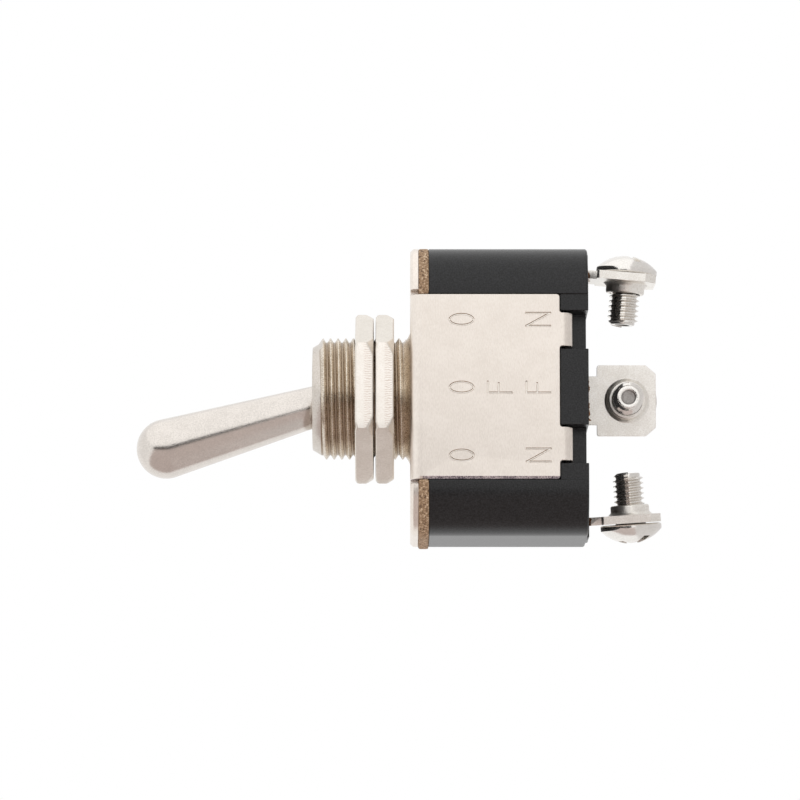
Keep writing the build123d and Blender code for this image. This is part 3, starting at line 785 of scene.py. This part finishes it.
# Terminal screws: M3 steel screws with raised heads, a slot crossed by a recess, bright nickel
# plate and a plain cropped dimple in the end. They stand a little off the blades, as delivered.
screw_radius = 1.5 * mm
screw_root = 1.2 * mm
screw_pitch = 0.5 * mm
screw_length = 5.0 * mm
head_radius = 3.0 * mm
head_height = 1.9 * mm
head_rim = 0.55 * mm
stand_off = 0.1 * mm
end_break = 0.12 * mm
end_radius = 1.12 * mm
dimple_radius = 0.73 * mm
dimple_floor = 0.6 * mm
dimple_depth = 0.2 * mm
dimple_dish = 0.03 * mm
thread_gap = 0.05 * mm
neck_length = 0.3 * mm
neck_radius = 1.55 * mm
recess_bars = ((8 * mm, 0.75 * mm, 0.7 * mm, 0), (3 * mm, 0.7 * mm, 1.2 * mm, 0),
               (3 * mm, 0.7 * mm, 1.2 * mm, 90))
screw_metal = plated("screw_nickel", light=(0.88, 0.85, 0.81), shade=(0.78, 0.75, 0.71),
                     roughness=0.14, relief=0.006 * mm)
cropped_end = plated("cropped_end", light=(0.52, 0.50, 0.48), shade=(0.34, 0.32, 0.30),
                     roughness=0.55, relief=0.03 * mm)
dome = head_height - head_rim
dome_radius = (head_radius ** 2 + dome ** 2) / (2 * dome)
dome_centre = head_height - dome_radius
recess_turns = {"common": 35, "right": 25, "left": -40}
for side, turn in recess_turns.items():
    profile = [(0, dimple_depth - screw_length), (dimple_floor, dimple_depth - dimple_dish - screw_length),
               (dimple_radius, -screw_length), (end_radius, -screw_length),
               (screw_root, end_break - screw_length), (screw_root, -neck_length), (neck_radius, 0),
               (head_radius - end_break, 0), (head_radius, end_break)]
    profile += arc_points(dome_centre, dome_radius, acos(head_radius / dome_radius), radians(90), 14)[:-1]
    profile += [(0, head_height)]
    bm = lathe(profile, steps=64, closed=False)
    soften_edges(bm, width=0.03 * mm, sharpest=40)
    thread_ridge(bm, screw_root, screw_radius, screw_pitch, -screw_length - end_break, -thread_gap,
                 runout=1.0, steps=40)
    for f in bm.faces:
        at_end = f.calc_center_median().z < -0.9 * screw_length
        if at_end and all(v.co.xy.length < dimple_radius * 1.01 for v in f.verts):
            f.material_index = 1
    clamp = clamps[side]
    out = Vector(clamp["axis"])
    along = Vector((0, 0, 1)) - out * out.z
    side_axis = along.cross(out).normalized()
    seat = Matrix((side_axis, along.normalized(), out)).transposed().to_4x4()
    place = Matrix.Translation(Vector(clamp["pos_m"]) + out * stand_off) @ seat
    bmesh.ops.transform(bm, matrix=place, verts=bm.verts)
    screw = finished(bm, "clamp_screw_" + side, side + "_screw", screw_metal, smooth=40)
    screw.data.materials.append(cropped_end)
    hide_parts("screw_" + side)
    recess = bmesh.new()
    for long, wide, deep, angle in recess_bars:
        bar = bmesh.ops.create_cube(recess, size=1)["verts"]
        bmesh.ops.scale(recess, vec=(long, wide, 2 * deep), verts=bar)
        bmesh.ops.rotate(recess, cent=(0, 0, 0), matrix=Matrix.Rotation(radians(angle), 3, "Z"), verts=bar)
    head_place = place @ Matrix.Translation((0, 0, head_height)) @ Matrix.Rotation(radians(turn), 4, "Z")
    bmesh.ops.transform(recess, matrix=head_place, verts=recess.verts)
    cut_away(screw, recess, smooth=40)
    even_shading(screw)

# Inside the case: the steel cross pin and spring, the nylon plunger and the brass and silver
# contact set, which only show when the switch is taken apart. The spring sits in the lever's
# bored tail.
pin_steel = plated("pin_steel", light=(0.60, 0.60, 0.60), shade=(0.45, 0.45, 0.46),
                   roughness=0.35, relief=0.006 * mm)
contact_brass = plated("contact_brass", light=(0.80, 0.60, 0.28), shade=(0.62, 0.44, 0.18),
                       roughness=0.32, relief=0.006 * mm)
contact_silver = plated("contact_silver", light=(0.90, 0.89, 0.87), shade=(0.75, 0.74, 0.72),
                        roughness=0.22, relief=0.004 * mm)
nylon = new_material("plunger_nylon", Roughness=0.45, Subsurface_Weight=0.1, Subsurface_Scale=1 * mm)
varied_colour(nylon, scale=3000, stops=[(0.3, (0.70, 0.66, 0.56)), (0.7, (0.82, 0.78, 0.68))])
inner_finishes = {
    "pivot_pin": pin_steel,
    "rocker": contact_brass,
    "contact_cradle": contact_brass,
    "contact_plate_right": contact_brass,
    "contact_plate_left": contact_brass,
    "moving_contact_right": contact_silver,
    "moving_contact_left": contact_silver,
    "fixed_contact_right": contact_silver,
    "fixed_contact_left": contact_silver,
    "plunger": nylon,
}
for name, finish in inner_finishes.items():
    data = frame["nodes"][name].data
    data.materials.clear()
    data.materials.append(finish)

spring = finished(copied_node("plunger_spring"), "coil_spring", "lever_arm", pin_steel)
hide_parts("plunger_spring")
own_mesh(spring)
